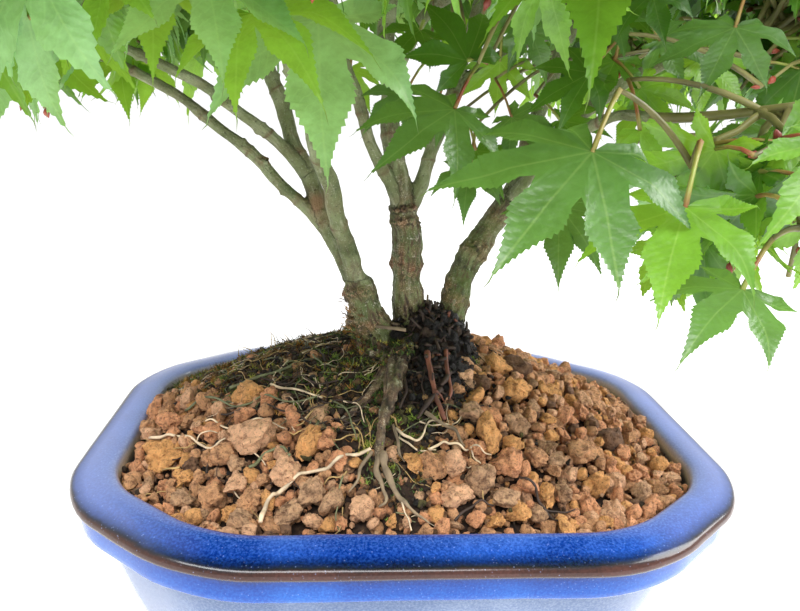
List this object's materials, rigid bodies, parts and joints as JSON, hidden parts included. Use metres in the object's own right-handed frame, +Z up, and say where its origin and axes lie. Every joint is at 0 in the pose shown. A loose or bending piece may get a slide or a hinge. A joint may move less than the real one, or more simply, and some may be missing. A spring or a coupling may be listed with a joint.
{
  "type": "japanese maple bonsai",
  "caption": "Clump-style maple bonsai with stems, boughs and lobed-leaf masses on a soil mound in a glazed eight-sided pot.",
  "frame": {"origin": "on the surface that the pot stands on, under the middle of the pot and of the crown's spread", "axes": "+Z up the tree, +X along the long side of the pot to the right, +Y to the back"},
  "size_m": [0.316, 0.272, 0.359],
  "materials": {
    "glazed_stoneware": "mottled blue glaze, breaking brown on the rim's edge",
    "grain_soil": "matt baked clay and lava grains",
    "old_bark": "rough grey-brown bark",
    "young_bark": "smooth grey-green bark",
    "green_leaves": "fresh green, satin"
  },
  "bodies": {
    "root": {"pot": "glazed_stoneware", "soil": "grain_soil", "root_flare": "old_bark", "stem_left": "old_bark", "stem_centre": "old_bark", "stem_right": "old_bark", "bough_left_back": "young_bark", "bough_left_front": "young_bark", "bough_left_low": "young_bark", "bough_left_outer": "young_bark", "bough_centre_left": "young_bark", "bough_centre_top": "young_bark", "bough_centre_back": "young_bark", "bough_front": "young_bark", "bough_right_outer": "young_bark", "bough_right_top": "young_bark", "bough_right_front": "young_bark", "bough_right_back": "young_bark", "foliage_left_low": "green_leaves", "foliage_left_outer": "green_leaves", "foliage_left_back": "green_leaves", "foliage_left_front": "green_leaves", "foliage_top_left": "green_leaves", "foliage_top": "green_leaves", "foliage_back": "green_leaves", "foliage_front": "green_leaves", "foliage_right": "green_leaves", "foliage_top_right": "green_leaves", "foliage_right_front": "green_leaves", "foliage_right_back": "green_leaves"}
  },
  "joints": []
}
